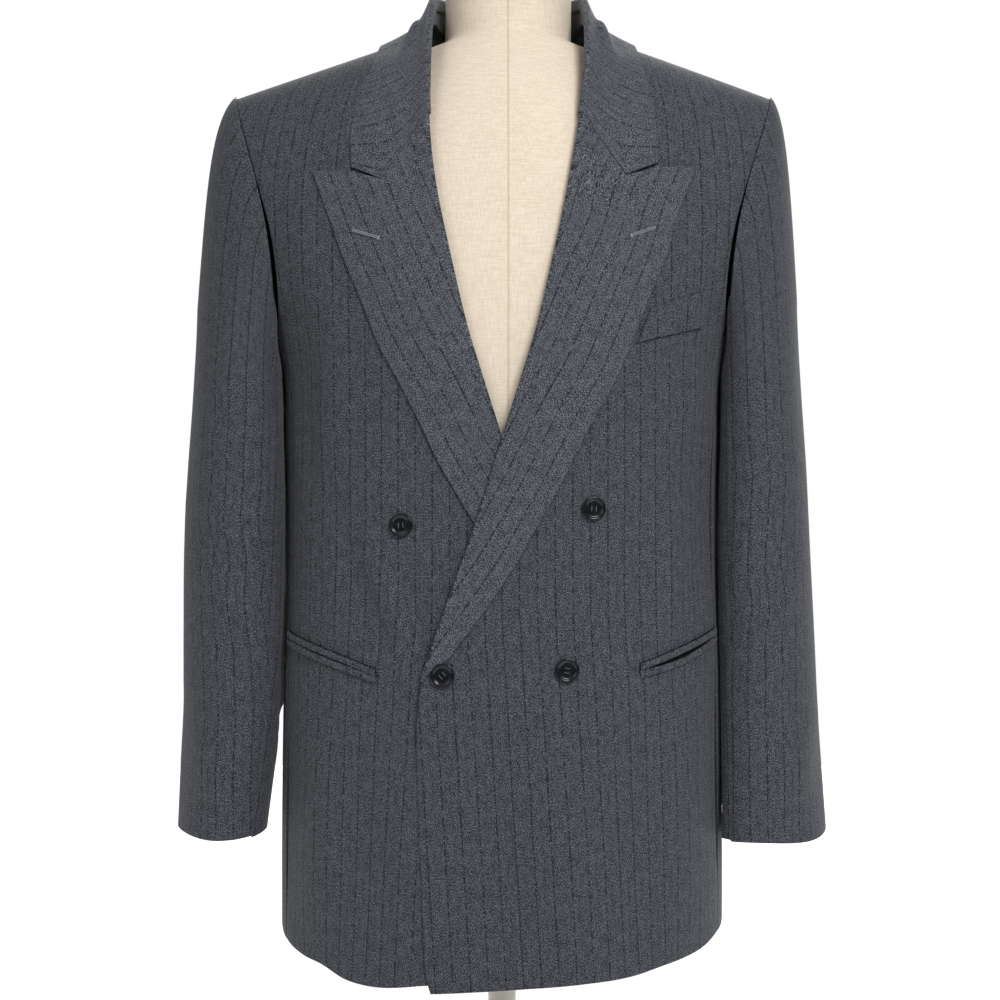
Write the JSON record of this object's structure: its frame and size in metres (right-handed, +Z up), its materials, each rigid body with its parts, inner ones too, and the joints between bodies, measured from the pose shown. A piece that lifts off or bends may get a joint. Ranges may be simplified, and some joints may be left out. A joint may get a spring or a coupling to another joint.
{
  "type": "double breasted blazer on a dress form",
  "caption": "Double breasted blazer with peak lapels and striped cloth, worn by a limbless dress form on a round stand.",
  "frame": {"origin": "middle of the stand's base, on the surface it stands on", "axes": "+Z up, -Y towards the blazer's front, +X towards the wearer's left"},
  "size_m": [0.5813, 0.352, 1],
  "materials": {
    "worsted": "charcoal melange worsted with fine dark stripes",
    "button": "dark four-hole button with a polished rim",
    "linen": "cream linen cover, smooth",
    "stand": "white powder coat, satin"
  },
  "bodies": {
    "root": {"front_left": "worsted", "front_right": "worsted", "side_panel_left": "worsted", "side_panel_right": "worsted", "back_left": "worsted", "back_right": "worsted", "lapel_left": "worsted", "lapel_right": "worsted", "collar": "worsted", "collar_stand": "worsted", "sleeve_upper_left": "worsted", "sleeve_upper_right": "worsted", "sleeve_under_left": "worsted", "sleeve_under_right": "worsted", "breast_welt": "worsted", "pocket_jet_upper_left": "worsted", "pocket_jet_lower_left": "worsted", "pocket_jet_upper_right": "worsted", "pocket_jet_lower_right": "worsted", "button_upper_left": "button", "button_upper_right": "button", "button_lower_left": "button", "button_fastened": "button", "form_torso": "linen", "stand_pole": "stand", "stand_base": "stand"}
  },
  "joints": []
}
